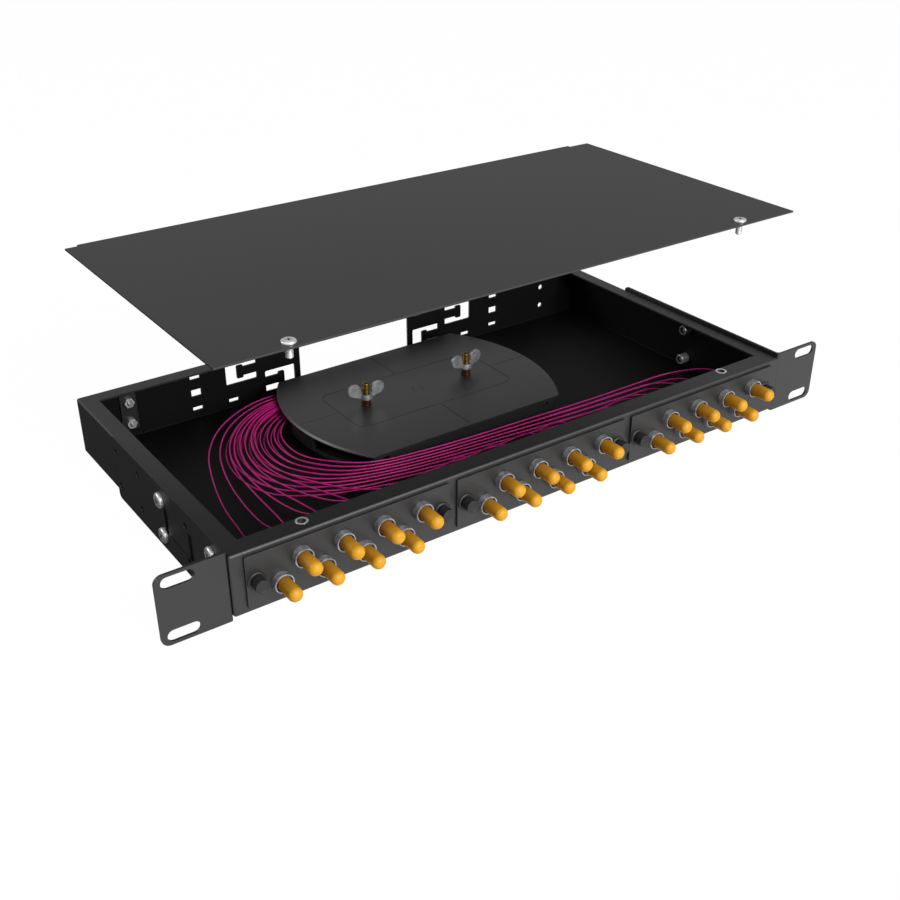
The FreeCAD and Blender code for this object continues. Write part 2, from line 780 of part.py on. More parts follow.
def splice_protectors():
    return [rod(protector_place(i), X, protector_length, protector_radius)
            for i in range(comb_slots * comb_layers)]


def splice_tray_studs():
    studs = []
    for place in stud_places(floor_z):
        stud = rod(place, Z, stud_top_z - floor_z, stud_radius)
        top = [e for e in stud.Edges if abs(e.CenterOfMass.z - stud_top_z) < 0.01]
        studs.append(stud.makeFillet(stud_dome_radius, top))
    return studs


def stud_collars():
    bore = stud_radius + thread_gap
    profile = [(0, bore), (0, collar_flange_radius), (collar_flange_thickness, collar_flange_radius),
               (collar_flange_thickness, collar_radius), (collar_height, collar_radius),
               (collar_height, bore)]
    return [turned(profile, p, Z) for p in stud_places(lid_top_z)]


def wing_nut(place, turn):
    """Wing nut on its stud: conical body with two thin round lobes."""
    bore = stud_radius + thread_gap
    body = turned([(0, bore), (0, wing_body_radius), (0.3 * wing_body_height, wing_body_radius),
                   (wing_body_height, wing_top_radius), (wing_body_height, bore)], place, Z)
    lobes = []
    for side in (-1, 1):
        centre = place + X * side * wing_lobe_reach + Z * wing_lobe_lift
        disc = rod(centre - Y * wing_thickness / 2, Y, wing_thickness, wing_lobe_radius)
        inner = place.x + side * (bore + 0.6)
        outer = centre.x + side * 0.75 * wing_lobe_radius
        low = place - Y * wing_thickness / 2
        arm = prism([V(inner, low.y, place.z + 0.4), V(outer, low.y, centre.z - 0.66 * wing_lobe_radius),
                     V(centre.x - side * 0.9 * wing_lobe_radius, low.y, centre.z + 0.42 * wing_lobe_radius),
                     V(inner, low.y, place.z + wing_root_height + 0.8)], Y * wing_thickness)
        lobes += [disc, arm]
    tall = wing_lobe_lift + wing_lobe_radius + 2
    nut = body.fuse(lobes).cut(rod(place - Z, Z, tall, bore)).removeSplitter()
    nut.rotate(place, Z, turn)
    return nut


def rounded_path(points, limit):
    """Straight runs joined by tangent arcs, each as large as its two runs allow."""
    edges = []
    radii = []
    start = points[0]
    for before, corner, after in zip(points, points[1:], points[2:]):
        into, out = (corner - before), (after - corner)
        run = min(into.Length, out.Length)
        into.normalize()
        out.normalize()
        half_turn = math.acos(max(-1, min(1, into.dot(out)))) / 2
        radius = 0.45 * run / math.tan(half_turn)
        setback = radius * math.tan(half_turn)
        first, last = corner - into * setback, corner + out * setback
        inward = (out - into).normalize()
        middle = corner + inward * (radius / math.cos(half_turn) - radius)
        edges.append(Part.LineSegment(start, first).toShape())
        edges.append(Part.Arc(first, middle, last).toShape())
        radii.append(radius)
        start = last
    edges.append(Part.LineSegment(start, points[-1]).toShape())
    if min(radii) < limit:
        print("a bend of radius", round(min(radii), 1), "is tighter than", limit)
    return Part.Wire(edges), radii


# Stations of the pigtails, chosen by hand. Each keeps its own lane as they turn together round the
# left end of the splice tray: 0 is the outermost lane and 1 the innermost. The left plate's pigtails
# cross above those of the other two plates, which run along the front from the right.
turn_outer = ((-171.5, 70.0), (-163.0, 103.0), (-150.0, 138.0), (-125.0, 168.5), (-88.0, 186.0))
turn_inner = ((-89.0, 80.5), (-104.5, 100.0), (-105.0, 124.0), (-98.0, 142.0), (-84.0, 155.0))
turn_heights = (-3.9, -4.3, -4.9, -5.4, -5.7)
left_plate_lanes = (0.0, 0.14, 0.265, 0.325, 0.40, 0.47, 0.555, 0.61)
run_first_lanes = (0.38, 0.27, 0.20, 0.20, 0.20)
# The run along the front: x, then y of its foremost and its rearmost pigtail
run_stations = ((150.0, 21.5, 57.5), (60.0, 22.0, 58.0), (0.0, 35.0, 60.5), (-50.0, 40.0, 65.5),
                (-72.0, 44.0, 68.4), (-100.0, 47.5, 74.0))
run_turn_front = (-117.0, 56.0)
run_turn_rear = (-72.0, 68.4)
run_height = -3.9
run_step = 40.0
run_sway = 0.6
run_sway_length = 23.0
run_layer_gap = 1.18
layer_gap = 2.1
left_exit_run = 7.0
front_exit_run = 10.0
front_bend = (16.0, 2.0)
join_run = 42.0
left_bend_run = 20.0
left_bend_share = 0.4
left_drop_share = 0.9
entry_x = -60.0
entry_share = 0.6
end_run = 11.0


def between(a, b, share):
    return a + (b - a) * share


def run_y(x, share):
    """Depth of the run at x; share is 0 for the foremost pigtail and 1 for the rearmost."""
    for right, left in zip(run_stations, run_stations[1:]):
        if x >= left[0]:
            break
    part_way = (right[0] - min(x, right[0])) / (right[0] - left[0])
    front, rear = between(right[1], left[1], part_way), between(right[2], left[2], part_way)
    return between(front, rear, share) + run_sway * math.sin(x / run_sway_length)


def front_run(x, z, low, share):
    """Points from behind a connector of the centre or right plate to the turn round the splice tray."""
    bend_x, join_x = x - front_bend[0], x - join_run
    points = [V(x, boot_end_y + front_exit_run, z),
              V(bend_x, run_y(bend_x, share) - front_bend[1], between(z, low, 0.9))]
    goal_x = between(run_turn_front[0], run_turn_rear[0], share)
    steps = math.ceil((join_x - goal_x) / run_step)
    for step in range(steps):
        along_x = between(join_x, goal_x, step / steps)
        points.append(V(along_x, run_y(along_x, share), low))
    return points + [V(goal_x, between(run_turn_front[1], run_turn_rear[1], share), low)]


def pigtail_points(index, x, z):
    """Route from the boot to the splice protector; index counts the ports from the left."""
    layer = splice_slot(index)[1] - 1
    on_left = index < port_count
    share = (index - port_count) / (2 * port_count - 1)
    turn = []
    for outer, inner, height, first in zip(turn_outer, turn_inner, turn_heights, run_first_lanes):
        lane = left_plate_lanes[index] if on_left else between(first, 1, share)
        turn.append(V(between(outer[0], inner[0], lane), between(outer[1], inner[1], lane),
                      height + layer * layer_gap))
    points = [V(x, boot_end_y, z)]
    if on_left:
        points += [V(x, boot_end_y + left_exit_run, z),
                   V(between(x, turn[0].x, left_bend_share), boot_end_y + left_bend_run,
                     between(z, turn[0].z, left_drop_share))]
    else:
        points += front_run(x, z, run_height + layer * run_layer_gap, share)
    last, end = turn[-1], protector_place(index)
    return points + turn + [
        V(entry_x, between(last.y, end.y, entry_share), between(last.z, end.z, entry_share)),
        V(end.x - end_run, end.y, end.z),
        end,
    ]


def pigtails():
    tubes = []
    for index, x, z in ports():
        path, radii = rounded_path(pigtail_points(index, x, z), 5 * pigtail_radius * 2)
        first = path.Edges[0]
        circle = Part.Circle(first.valueAt(first.FirstParameter), first.tangentAt(first.FirstParameter),
                             pigtail_radius)
        tube = path.makePipeShell([Part.Wire(circle.toShape())], True, False)
        expected = math.pi * pigtail_radius ** 2 * path.Length
        print("pigtail", index + 1, "length", round(path.Length), "smallest radius", round(min(radii), 1),
              "volume ratio", round(tube.Volume / expected, 4))
        tubes.append(tube)
    return tubes


def nodes():
    found = {
        "chassis_tray": chassis_tray(),
        "rack_ear_left": rack_ear(-1),
        "rack_ear_right": rack_ear(1),
        "ear_screws": ear_screws(),
        "ear_rivet_nuts": ear_rivet_nuts(),
        "cover_rivet_nuts": cover_rivet_nuts(),
        "cover_plate": cover_plate(),
        "cable_clamp": cable_clamp(),
        "cable_clamp_screws": clamp_screws(),
        "cable_clamp_nuts": clamp_nuts(),
        "plunger_grommets": plunger_grommets(),
        "adapter_bodies": [adapter_body(x, z) for _, x, z in ports()],
        "adapter_lock_nuts": [adapter_lock_nut(x, z) for _, x, z in ports()],
        "alignment_sleeves": [alignment_sleeve(x, z) for _, x, z in ports()],
        "connector_bodies": [connector_body(x, z) for _, x, z in ports()],
        "connector_boots": [connector_boot(x, z) for _, x, z in ports()],
        "pigtails": pigtails(),
        "splice_tray_base": splice_tray_base(),
        "splice_tray_lid": splice_tray_lid(),
        "splice_holder": splice_holder(),
        "splice_protectors": splice_protectors(),
        "splice_tray_studs": splice_tray_studs(),
        "stud_collars": stud_collars(),
    }
    for name, place in zip(("left", "right"), cover_nut_places()):
        found["cover_screw_" + name] = cover_screw(place)
    for name, centre in zip(("left", "centre", "right"), plate_centres):
        found["adapter_plate_" + name] = adapter_plate(centre)
    for number, x in enumerate(plunger_places(), 1):
        found["plunger_" + str(number)] = plunger(x)
    for index, x, z in ports():
        found["dust_cap_" + str(index + 1).zfill(2)] = dust_cap(x, z)
    nut_places = stud_places(lid_top_z + collar_height)
    found["wing_nut_left"] = wing_nut(nut_places[0], left_wing_turn)
    found["wing_nut_right"] = wing_nut(nut_places[1], right_wing_turn)
    return found


os.makedirs("parts", exist_ok=True)
for node, shape in nodes().items():
    if isinstance(shape, list):
        shape = Part.makeCompound(shape)
    shape.exportStep("parts/" + node + ".step")
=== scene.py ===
import json
import math

import bpy
from mathutils import Matrix, Vector

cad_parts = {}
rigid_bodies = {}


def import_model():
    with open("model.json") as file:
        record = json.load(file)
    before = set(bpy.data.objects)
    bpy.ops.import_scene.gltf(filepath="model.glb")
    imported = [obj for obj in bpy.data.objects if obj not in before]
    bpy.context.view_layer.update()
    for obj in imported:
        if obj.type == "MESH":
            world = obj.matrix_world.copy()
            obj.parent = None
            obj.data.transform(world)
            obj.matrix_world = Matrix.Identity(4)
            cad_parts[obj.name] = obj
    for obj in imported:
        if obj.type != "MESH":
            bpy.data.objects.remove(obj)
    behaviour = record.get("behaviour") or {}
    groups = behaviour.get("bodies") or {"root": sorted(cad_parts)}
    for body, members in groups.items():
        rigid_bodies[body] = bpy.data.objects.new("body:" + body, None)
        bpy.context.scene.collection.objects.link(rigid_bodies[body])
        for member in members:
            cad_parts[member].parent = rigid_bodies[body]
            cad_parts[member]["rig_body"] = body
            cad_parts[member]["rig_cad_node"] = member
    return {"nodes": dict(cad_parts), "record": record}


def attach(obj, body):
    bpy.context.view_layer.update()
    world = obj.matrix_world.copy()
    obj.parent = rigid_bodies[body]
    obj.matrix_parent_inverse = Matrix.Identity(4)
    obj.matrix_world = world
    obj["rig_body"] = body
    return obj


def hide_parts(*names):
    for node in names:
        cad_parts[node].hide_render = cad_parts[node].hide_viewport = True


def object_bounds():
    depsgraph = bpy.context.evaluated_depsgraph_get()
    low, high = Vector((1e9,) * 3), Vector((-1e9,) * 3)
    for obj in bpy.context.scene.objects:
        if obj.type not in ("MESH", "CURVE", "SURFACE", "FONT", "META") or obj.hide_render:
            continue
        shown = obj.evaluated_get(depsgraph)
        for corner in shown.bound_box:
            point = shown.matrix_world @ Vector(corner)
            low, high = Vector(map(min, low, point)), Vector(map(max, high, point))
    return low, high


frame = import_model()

# Everything is in metres in the part's own frame: +X right, +Y to the rear, +Z up.
MM = 0.001
cad_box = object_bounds()

UP, FORWARD, REARWARD = (0, 0, 1), (0, -1, 0), (0, 1, 0)

# Camera, solved from the straight edges of the photographed panel
CAMERA_PLACE = Vector((-0.3926, -0.46204, 0.3532))
CAMERA_PITCH = math.radians(60.60)
CAMERA_YAW = math.radians(-35.30)
CAMERA_LENS = 47.33

# Studio, in metres. A lamp is (name, azimuth, elevation, size, power), with azimuth 0 straight in front and
# 90 on the right
LAMPS = (("key_lamp", 3, 29, 1.3, 54.0), ("front_lamp", 15, 2, 0.8, 8.0), ("left_lamp", -125, 28, 0.9, 12.0))
LAMP_TARGET = (0.0, 0.1, 0.03)
LAMP_DISTANCE = 2.4
FLOOR_SIZE = 12.0
FLOOR_CENTRE_Y = 0.1
FLOOR_GAP = 0.0002
FLOOR_GREY = (0.5, 0.5, 0.5, 1.0)
FLOOR_GLOW = 1.02
FLOOR_GLOW_SHARE = 0.97
SHADE_EDGE_X = -0.14
SHADE_FADE_X = 0.05
SHADE_EDGE_Y = -0.11
SHADE_FADE_Y = 0.06
SHADE_DEPTH = 0.94
SKY_BRIGHT_SIDE = (-0.577, -0.816, 0.0)
SKY_DIM = 0.41
SKY_MIDDLE = 0.45
SKY_CONTRAST = 0.9
SKY_AMBIENT = 0.07

# Sizes in millimetres, from the panel's own. The caps are 0.2 mm slimmer than its solids and the heads of the
# cover screws 0.5 mm flatter, as the photograph shows them.
PLATE_PITCH = 131.4
PLUNGER_SPAN = 114.8
PORT_COUNT = 8
PORT_PITCH = 12.5
PORT_ROW = 5.5
PLATE_FRONT_Y = -4.08
BACK_Y = 211.32
HALF_WIDTH = 202.2
SIDE_OUTER_X = 203.7
TRAY_TOP_Z = 18.7
TRAY_FLOOR_Z = -18.0
COVER_TOP_Z = 120.07
COVER_SCREW_X = 155.85
COVER_SCREW_Y = 6.02
EAR_SCREW_ROWS_Y = (14.6, 79.2)
EAR_SCREW_ROWS_Z = (-11.45, 11.45)
M4_RADIUS = 2.0
M4_PITCH = 0.7
THREAD_GAP = 0.05
RIVET_FLANGE = 0.6
CLAMP_X = -170.5
CLAMP_Z = 0.35
CLAMP_PITCH = 14.9
# Screws: (thread radius, length, head radius, head height, thread pitch)
EAR_SCREW = (M4_RADIUS, 7.5, 4.7, 2.5, M4_PITCH)
COVER_SCREW = (M4_RADIUS, 8.3, 4.0, 1.7, M4_PITCH)
CLAMP_SCREW = (1.75, 6.8, 3.4, 2.1, 0.6)
# A pan head's crown starts at these shares of its height and radius; its cross recess has these shares of the
# head's radius and, for its depth, of its height
CROWN_LOW, CROWN_FLAT = 0.45, 0.6
RECESS_SPAN, RECESS_WIDTH, RECESS_DEPTH, RECESS_TAPER = 1.15, 0.24, 0.72, 0.45
HEAD_TOP = 0.08
THREAD_DEPTH_SHARE = 0.42
# Rivet nuts: (body radius, flange radius, length)
EAR_NUT = (3.5, 4.5, 7.5)
COVER_NUT = (2.95, 3.7, 8.2)
# How far each screw was turned when it was tightened, in degrees
EAR_SCREW_TURNS = (12, 67, 38, 81, 25, 50, 74, 3)
CAP_START_Y = -6.58
CAP_LENGTH = 15.9
CAP_RADIUS = 4.12
CAP_BORE = 3.45
CAP_BORE_DEPTH = 11.5
CAP_NOSE = 3.6
CAP_SLEEVE = 6.0
# Painted shade on the caps starts here and fades out over this run towards the nose
CAP_SHADE_START_Y = -9.5
CAP_SHADE_RUN = 12.5
RING_BORE = 4.75
RING_RADIUS = 5.65
RING_LENGTH = 4.2
RING_RECESS = 4.85
RING_RECESS_DEPTH = 1.8
GROMMET_FLANGE = 1.0
# Round profiles as (height, radius), from the plate outwards
KNOB_PROFILE = ((-7.3, 0.0), (-7.3, 1.2), (-6.8, 1.7), (0.0, 1.7), (0.0, 3.1), (0.9, 3.1), (0.9, 4.0),
                (6.2, 4.0), (6.2, 3.0), (6.05, 2.8), (6.05, 0.0))
GROMMET_PROFILE = ((-4.7, 1.8), (-4.7, 3.0), (0.0, 3.0), (0.0, 5.3), (0.55, 5.3), (GROMMET_FLANGE, 4.7),
                   (GROMMET_FLANGE, 1.8), (-4.7, 1.8))
TRAY_CENTRE_Y = 130.3
LID_TOP_Z = 0.3
STUD_X = 40.0
STUD_RADIUS = 2.4
STUD_TOP_Z = 16.3
STUD_THREAD_PITCH = 0.8
STUD_THREAD_DEPTH = 0.32
STUD_DOME = 1.7
COLLAR_HEIGHT = 4.4
COLLAR_RADIUS = 2.9
COLLAR_FLANGE_RADIUS = 3.4
COLLAR_FLANGE = 0.9
WING_BOSS = ((0.0, 4.1), (0.9, 4.1), (3.6, 3.6))
WING_ROOT = ((2.9, 0.5), (4.6, 0.9))
WING_SHOULDER = ((3.7, 4.6), (2.9, 3.4))
WING_LOBE = (8.1, 6.8, 4.5)
WING_LOBE_ARC = (-62.0, 183.0)
WING_THICKNESS = 1.8
WING_NUT_TURNS = (-10.0, 4.0)

# The tray's inner faces lie within these limits and look towards its middle
INSIDE_HALF_WIDTH = 201.4
INSIDE_FRONT_Y, INSIDE_BACK_Y = -1.6, 210.4
INSIDE_TOP_Z = 17.6
INSIDE_MIDDLE = (0.0, 105.0, 0.0)

# Modelling in Blender
LATHE_STEPS = 40
FINE_LATHE_STEPS = 48
BOSS_LATHE_STEPS = 64
MERGE_DISTANCE = 2e-6
BEVEL_ABOVE = math.radians(35.0)
FLAT_WITHIN = math.radians(0.5)


def between(a, b, share):
    return a + (b - a) * share


def ports():
    """(index, x, z) of each adapter in millimetres, left to right."""
    found = []
    for plate in (-1, 0, 1):
        for i in range(PORT_COUNT):
            x = plate * PLATE_PITCH + (i - (PORT_COUNT - 1) / 2) * PORT_PITCH
            found.append((len(found), x, -PORT_ROW if i % 2 == 0 else PORT_ROW))
    return found


def both_sides(x, y, z=0.0):
    """The same place on the left and on the right."""
    return [(-x, y, z), (x, y, z)]


def clear_selection():
    if bpy.context.mode != "OBJECT":
        bpy.ops.object.mode_set(mode="OBJECT")
    bpy.ops.object.select_all(action="DESELECT")


class Sock:
    """A shader socket, or a plain number, that takes part in Python expressions."""

    tree = None

    def __init__(self, link):
        self.link = link

    @classmethod
    def node(cls, kind, settings=None, **sockets):
        """One node: its settings are set first, then the values or links of its sockets."""
        made = cls.tree.nodes.new("ShaderNode" + kind)
        for name, value in (settings or {}).items():
            if name == "stops":
                ramp = made.color_ramp
                while len(ramp.elements) < len(value):
                    ramp.elements.new(0.5)
                for stop, (place, colour) in zip(ramp.elements, value):
                    stop.position = place
                    stop.color = colour
            else:
                setattr(made, name, value)
        for name, value in sockets.items():
            found = [s for s in made.inputs if s.name.replace(" ", "_") == name and s.enabled]
            cls.feed(found[0], value)
        return made

    @classmethod
    def feed(cls, socket, value):
        if isinstance(value, Sock):
            cls.tree.links.new(value.link, socket)
        else:
            socket.default_value = value

    def maths(self, operation, other, swap=False):
        made = Sock.tree.nodes.new("ShaderNodeMath")
        made.operation = operation
        for socket, value in zip(made.inputs, (other, self) if swap else (self, other)):
            Sock.feed(socket, value)
        return Sock(made.outputs[0])

    def __add__(self, other):
        return self.maths("ADD", other)

    __radd__ = __add__

    def __mul__(self, other):
        return self.maths("MULTIPLY", other)

    __rmul__ = __mul__

    def __sub__(self, other):
        return self.maths("SUBTRACT", other)

    def __rsub__(self, other):
        return self.maths("SUBTRACT", other, swap=True)

    def __truediv__(self, other):
        return self.maths("DIVIDE", other)

    def clamp(self):
        return self.maths("MINIMUM", 1.0).maths("MAXIMUM", 0.0)

    def ramp(self, *stops):
        """A colour ramp over this value; each stop is (place, colour)."""
        return Sock(Sock.node("ValToRGB", {"stops": stops}, Fac=self).outputs[0])


def rgb(red, green, blue):
    """An sRGB colour, 0 to 255, as the linear colour that a shader takes."""
    linear = []
    for value in (red, green, blue):
        part = value / 255
        linear.append(part / 12.92 if part <= 0.04045 else ((part + 0.055) / 1.055) ** 2.4)
    return (*linear, 1.0)


BLACK = rgb(0, 0, 0)
WHITE = rgb(255, 255, 255)


class Finish:
    """One material in the making: object coordinates, its Principled shader and the bump chain."""

    def __init__(self, name):
        self.material = bpy.data.materials.new(name)
        self.material.use_nodes = True
        Sock.tree = self.material.node_tree
        self.shader = Sock.tree.nodes["Principled BSDF"]
        self.place = Sock(Sock.node("TexCoord").outputs["Object"])
        self.normal = None

    def set(self, **sockets):
        for name, value in sockets.items():
            Sock.feed(self.shader.inputs[name.replace("_", " ")], value)

    def noise(self, scale, detail=2.0, roughness=0.5, stretch=None):
        place = self.place
        if stretch:
            place = Sock(Sock.node("Mapping", Vector=place, Scale=stretch).outputs[0])
        return Sock(Sock.node("TexNoise", Vector=place, Scale=scale, Detail=detail,
                              Roughness=roughness).outputs[0])

    def bump(self, height, strength, distance):
        sockets = {"Height": height, "Strength": strength, "Distance": distance}
        if self.normal:
            sockets["Normal"] = self.normal
        self.normal = Sock(Sock.node("Bump", **sockets).outputs[0])
        Sock.feed(self.shader.inputs["Normal"], self.normal)


# Materials


def black_powder_coat(name, roughness, specular):
    """Fine-textured black powder coat on sheet steel."""
    finish = Finish(name)
    cloud = finish.noise(9.0, 3.0)
    grain = finish.noise(1500.0, 2.0, 0.6)
    finish.set(Base_Color=(0.7 * cloud + 0.3 * grain).ramp((0.3, rgb(8, 8, 9)), (0.7, rgb(13, 13, 14))),
               Roughness=roughness + 0.12 * grain, Specular_IOR_Level=specular)
    finish.bump(finish.noise(1100.0, 1.0), 0.16, 0.00012)
    return finish.material


def moulded_black(name, low, high, specular, roughness, sheen_scale):
    """Black moulded plastic with a fine spark-eroded surface and faint flow clouds."""
    finish = Finish(name)
    cloud = finish.noise(sheen_scale, 3.0)
    grain = finish.noise(2600.0, 1.0)
    finish.set(Base_Color=cloud.ramp((0.3, low), (0.7, high)),
               Roughness=roughness + 0.12 * grain, Specular_IOR_Level=specular)
    finish.bump(grain, 0.12, 0.00008)
    return finish.material


def plain_metal(name, patch, low, high, metallic, roughness, marks, relief, stops=(0.3, 0.7)):
    """Metal whose patches differ a little in colour and gloss, under fine marks. patch and marks are the two
    noises, roughness is (least, spread over the patches) and relief is the marks' (strength, depth)."""
    finish = Finish(name)
    patches = finish.noise(*patch)
    finish.set(Base_Color=patches.ramp((stops[0], rgb(*low)), (stops[1], rgb(*high))), Metallic=metallic,
               Roughness=roughness[0] + roughness[1] * patches)
    finish.bump(finish.noise(*marks), *relief)
    return finish.material


def amber_vinyl():
    """Dip-moulded amber vinyl: satin and slightly waxy. Painted shade darkens a cap towards its open end by
    the ring, and painted light brightens its nose.
    """
    finish = Finish("amber_vinyl")
    cloud = finish.noise(160.0, 3.0)
    ripple = finish.noise(900.0, 2.0, 0.55)
    along = Sock(Sock.node("SeparateXYZ", Vector=finish.place).outputs["Y"])
    # Painted shade and light along a cap, dark at the open end and bright at the nose, over a little random
    # tone
    nose_light_share = ((CAP_SHADE_START_Y * MM - along) / (CAP_SHADE_RUN * MM)).clamp()
    tone_and_painted_shade = 0.4 * cloud + 0.6 * nose_light_share
    finish.set(Base_Color=tone_and_painted_shade.ramp((0.12, rgb(166, 110, 8)), (0.8, rgb(236, 170, 34))),
               Roughness=0.40 + 0.16 * ripple, Specular_IOR_Level=0.4,
               Subsurface_Weight=0.12, Subsurface_Scale=0.002,
               Subsurface_Radius=(1.0, 0.5, 0.1))
    finish.bump(ripple, 0.12, 0.0001)
    return finish.material


def fibre_jacket():
    """Tight-buffered pigtail jacket, magenta, with a soft sheen."""
    finish = Finish("magenta_jacket")
    cloud = finish.noise(60.0, 2.0)
    finish.set(Base_Color=cloud.ramp((0.3, rgb(186, 16, 117)), (0.7, rgb(205, 28, 135))),
               Roughness=0.42, Specular_IOR_Level=0.4)
    finish.bump(finish.noise(2500.0, 1.0), 0.05, 0.00004)
    return finish.material


def zirconia():
    finish = Finish("zirconia")
    cloud = finish.noise(300.0, 2.0)
    finish.set(Base_Color=cloud.ramp((0.3, rgb(226, 225, 216)), (0.7, rgb(240, 239, 232))), Roughness=0.25)
    return finish.material


def shrink_sleeve():
    """Milky shrunk sleeve over the steel strength rod of a splice protector."""
    finish = Finish("shrink_sleeve")
    cloud = finish.noise(140.0, 3.0)
    finish.set(Base_Color=cloud.ramp((0.3, rgb(196, 197, 196)), (0.7, rgb(222, 222, 220))), Roughness=0.3,
               Coat_Weight=0.4)
    finish.bump(finish.noise(700.0, 2.0), 0.1, 0.0001)
    return finish.material


def floor_finish():
    """Pale floor: the camera sees it nearly white, and so do reflections, but for the strip along the
    panel's left side, which they see dark. It still takes a soft shadow."""
    finish = Finish("studio_floor")
    finish.set(Base_Color=FLOOR_GREY, Roughness=0.9, Specular_IOR_Level=0.0)
    path = Sock.node("LightPath")
    across, along = [Sock(Sock.node("SeparateXYZ", Vector=finish.place).outputs[axis]) for axis in "XY"]
    shade = (((SHADE_EDGE_X - across) / SHADE_FADE_X).clamp()
             * ((along - SHADE_EDGE_Y) / SHADE_FADE_Y).clamp())
    glossy = Sock(path.outputs["Is Glossy Ray"])
    seen = (Sock(path.outputs["Is Camera Ray"]) + Sock(path.outputs["Is Transmission Ray"]) + glossy).clamp()
    glow = Sock.node("Emission", Strength=FLOOR_GLOW)
    Sock.feed(glow.inputs["Color"], (1.0 - SHADE_DEPTH * glossy * shade).ramp((0.0, BLACK), (1.0, WHITE)))
    mixed = Sock.node("MixShader")
    Sock.feed(mixed.inputs[0], seen * FLOOR_GLOW_SHARE)
    Sock.tree.links.new(finish.shader.outputs[0], mixed.inputs[1])
    Sock.tree.links.new(glow.outputs[0], mixed.inputs[2])
    Sock.tree.links.new(mixed.outputs[0], Sock.tree.nodes["Material Output"].inputs["Surface"])
    return finish.material


finishes = {
    "black_powder_coat": black_powder_coat("black_powder_coat", 0.42, 0.78),
    "matte_inside": black_powder_coat("matte_powder_coat", 0.5, 0.16),
    # Bright zinc plate on steel, with turning marks
    "zinc_steel": plain_metal("zinc_plate", (420.0, 3.0), (214, 216, 218), (242, 242, 241), 0.7, (0.24, 0.22),
                              (900.0, 2.0, 0.6, (1.0, 1.0, 9.0)), (0.10, 0.00006), stops=(0.35, 0.7)),
    # Tumbled zinc casting, half matte, with a pebbled skin
    "cast_zinc": plain_metal("cast_zinc", (300.0, 3.0), (112, 113, 116), (158, 159, 161), 0.6, (0.36, 0.16),
                             (1300.0, 2.0), (0.14, 0.00008)),
    # Inside of a screw's recess, a threaded bore or a lock ring's recess: painted shade, as a dark dull plate
    "dark_recess": plain_metal("dark_recess", (600.0, 2.0), (34, 34, 35), (58, 58, 59), 0.6, (0.5, 0.2),
                               (1500.0, 2.0), (0.1, 0.00005)),
    # Satin nickel on turned brass, a little darker than zinc
    "nickel_plate": plain_metal("nickel_plate", (380.0, 2.0), (132, 133, 140), (188, 189, 194), 0.6,
                                (0.32, 0.2), (700.0, 2.0, 0.6, (1.0, 12.0, 1.0)), (0.08, 0.00005)),
    "brass": plain_metal("turned_brass", (520.0, 3.0), (80, 58, 24), (122, 98, 44), 0.9, (0.26, 0.2),
                         (1500.0, 2.0), (0.08, 0.00005), stops=(0.3, 0.75)),
    # Darker, reddish brass of the collars under the wing nuts
    "aged_brass": plain_metal("aged_brass", (460.0, 3.0), (58, 32, 20), (92, 58, 30), 0.85, (0.32, 0.2),
                              (1500.0, 2.0), (0.08, 0.00005), stops=(0.3, 0.75)),
    "ceramic_white": zirconia(),
    "black_plastic": moulded_black("black_plastic", rgb(18, 18, 19), rgb(26, 26, 27), 1.0, 0.36, 14.0),
    "knob_plastic": moulded_black("knob_plastic", rgb(16, 16, 17), rgb(24, 24, 25), 0.55, 0.48, 30.0),
    "black_boot": moulded_black("black_boot", rgb(30, 30, 31), rgb(38, 38, 39), 0.3, 0.55, 60.0),
    "magenta_fibre_jacket": fibre_jacket(),
    "clear_sleeve": shrink_sleeve(),
    "amber_vinyl": amber_vinyl(),
}


def seat(piece, body, slot, node):
    """The finished piece takes its slot's finish unless it has one, moves with its body and stands for its
    node's solids."""
    if not piece.data.materials:
        piece.data.materials.append(finishes[slot])
    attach(piece, body)
    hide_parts(node)


# Modelling


def apply_modifier(piece, kind, **settings):
    bpy.context.view_layer.objects.active = piece
    modifier = piece.modifiers.new(kind.lower(), kind)
    for name, value in settings.items():
        setattr(modifier, name, value)
    bpy.ops.object.modifier_apply(modifier=modifier.name)


def soften(piece, width, segments=2, smooth_below=50.0):
    """Breaks the sharp edges by a small round of that width in millimetres, and shades the rest smooth."""
    clear_selection()
    piece.select_set(True)
    if width:
        apply_modifier(piece, "BEVEL", width=width * MM, segments=segments, limit_method="ANGLE",
                       angle_limit=BEVEL_ABOVE, harden_normals=False)
    bpy.context.view_layer.objects.active = piece
    bpy.ops.object.shade_smooth_by_angle(angle=math.radians(smooth_below))
    apply_modifier(piece, "WEIGHTED_NORMAL", keep_sharp=True, weight=100)
    return piece


def draw_line(name, points):
    """Starts a piece as one vertex and draws a line of edges through the points, left in edit mode."""
    clear_selection()
    points = [Vector(point) * MM for point in points]
    bpy.ops.mesh.primitive_plane_add(size=MM, location=points[0])
    piece = bpy.context.object
    piece.name = name
    bpy.ops.object.transform_apply(location=True)
    bpy.ops.object.mode_set(mode="EDIT")
    bpy.ops.mesh.select_mode(type="VERT")
    bpy.ops.mesh.select_all(action="SELECT")
    bpy.ops.mesh.merge(type="CENTER")
    for here, there in zip(points, points[1:]):
        bpy.ops.mesh.extrude_vertices_move(TRANSFORM_OT_translate={"value": there - here})
    bpy.ops.mesh.select_all(action="SELECT")
    return piece


def merge_and_turn_out():
    bpy.ops.mesh.select_all(action="SELECT")
    bpy.ops.mesh.remove_doubles(threshold=MERGE_DISTANCE)
    bpy.ops.mesh.normals_make_consistent(inside=False)
    bpy.ops.object.mode_set(mode="OBJECT")


def turn_on_lathe(name, profile, steps=LATHE_STEPS):
    """A round piece about +Z at the origin. The profile is (height, radius), from pole to pole or closed."""
    piece = draw_line(name, [(radius, 0.0, height) for height, radius in profile])
    bpy.ops.mesh.spin(steps=steps, angle=math.tau, center=(0.0, 0.0, 0.0), axis=(0.0, 0.0, 1.0))
    merge_and_turn_out()
    return piece


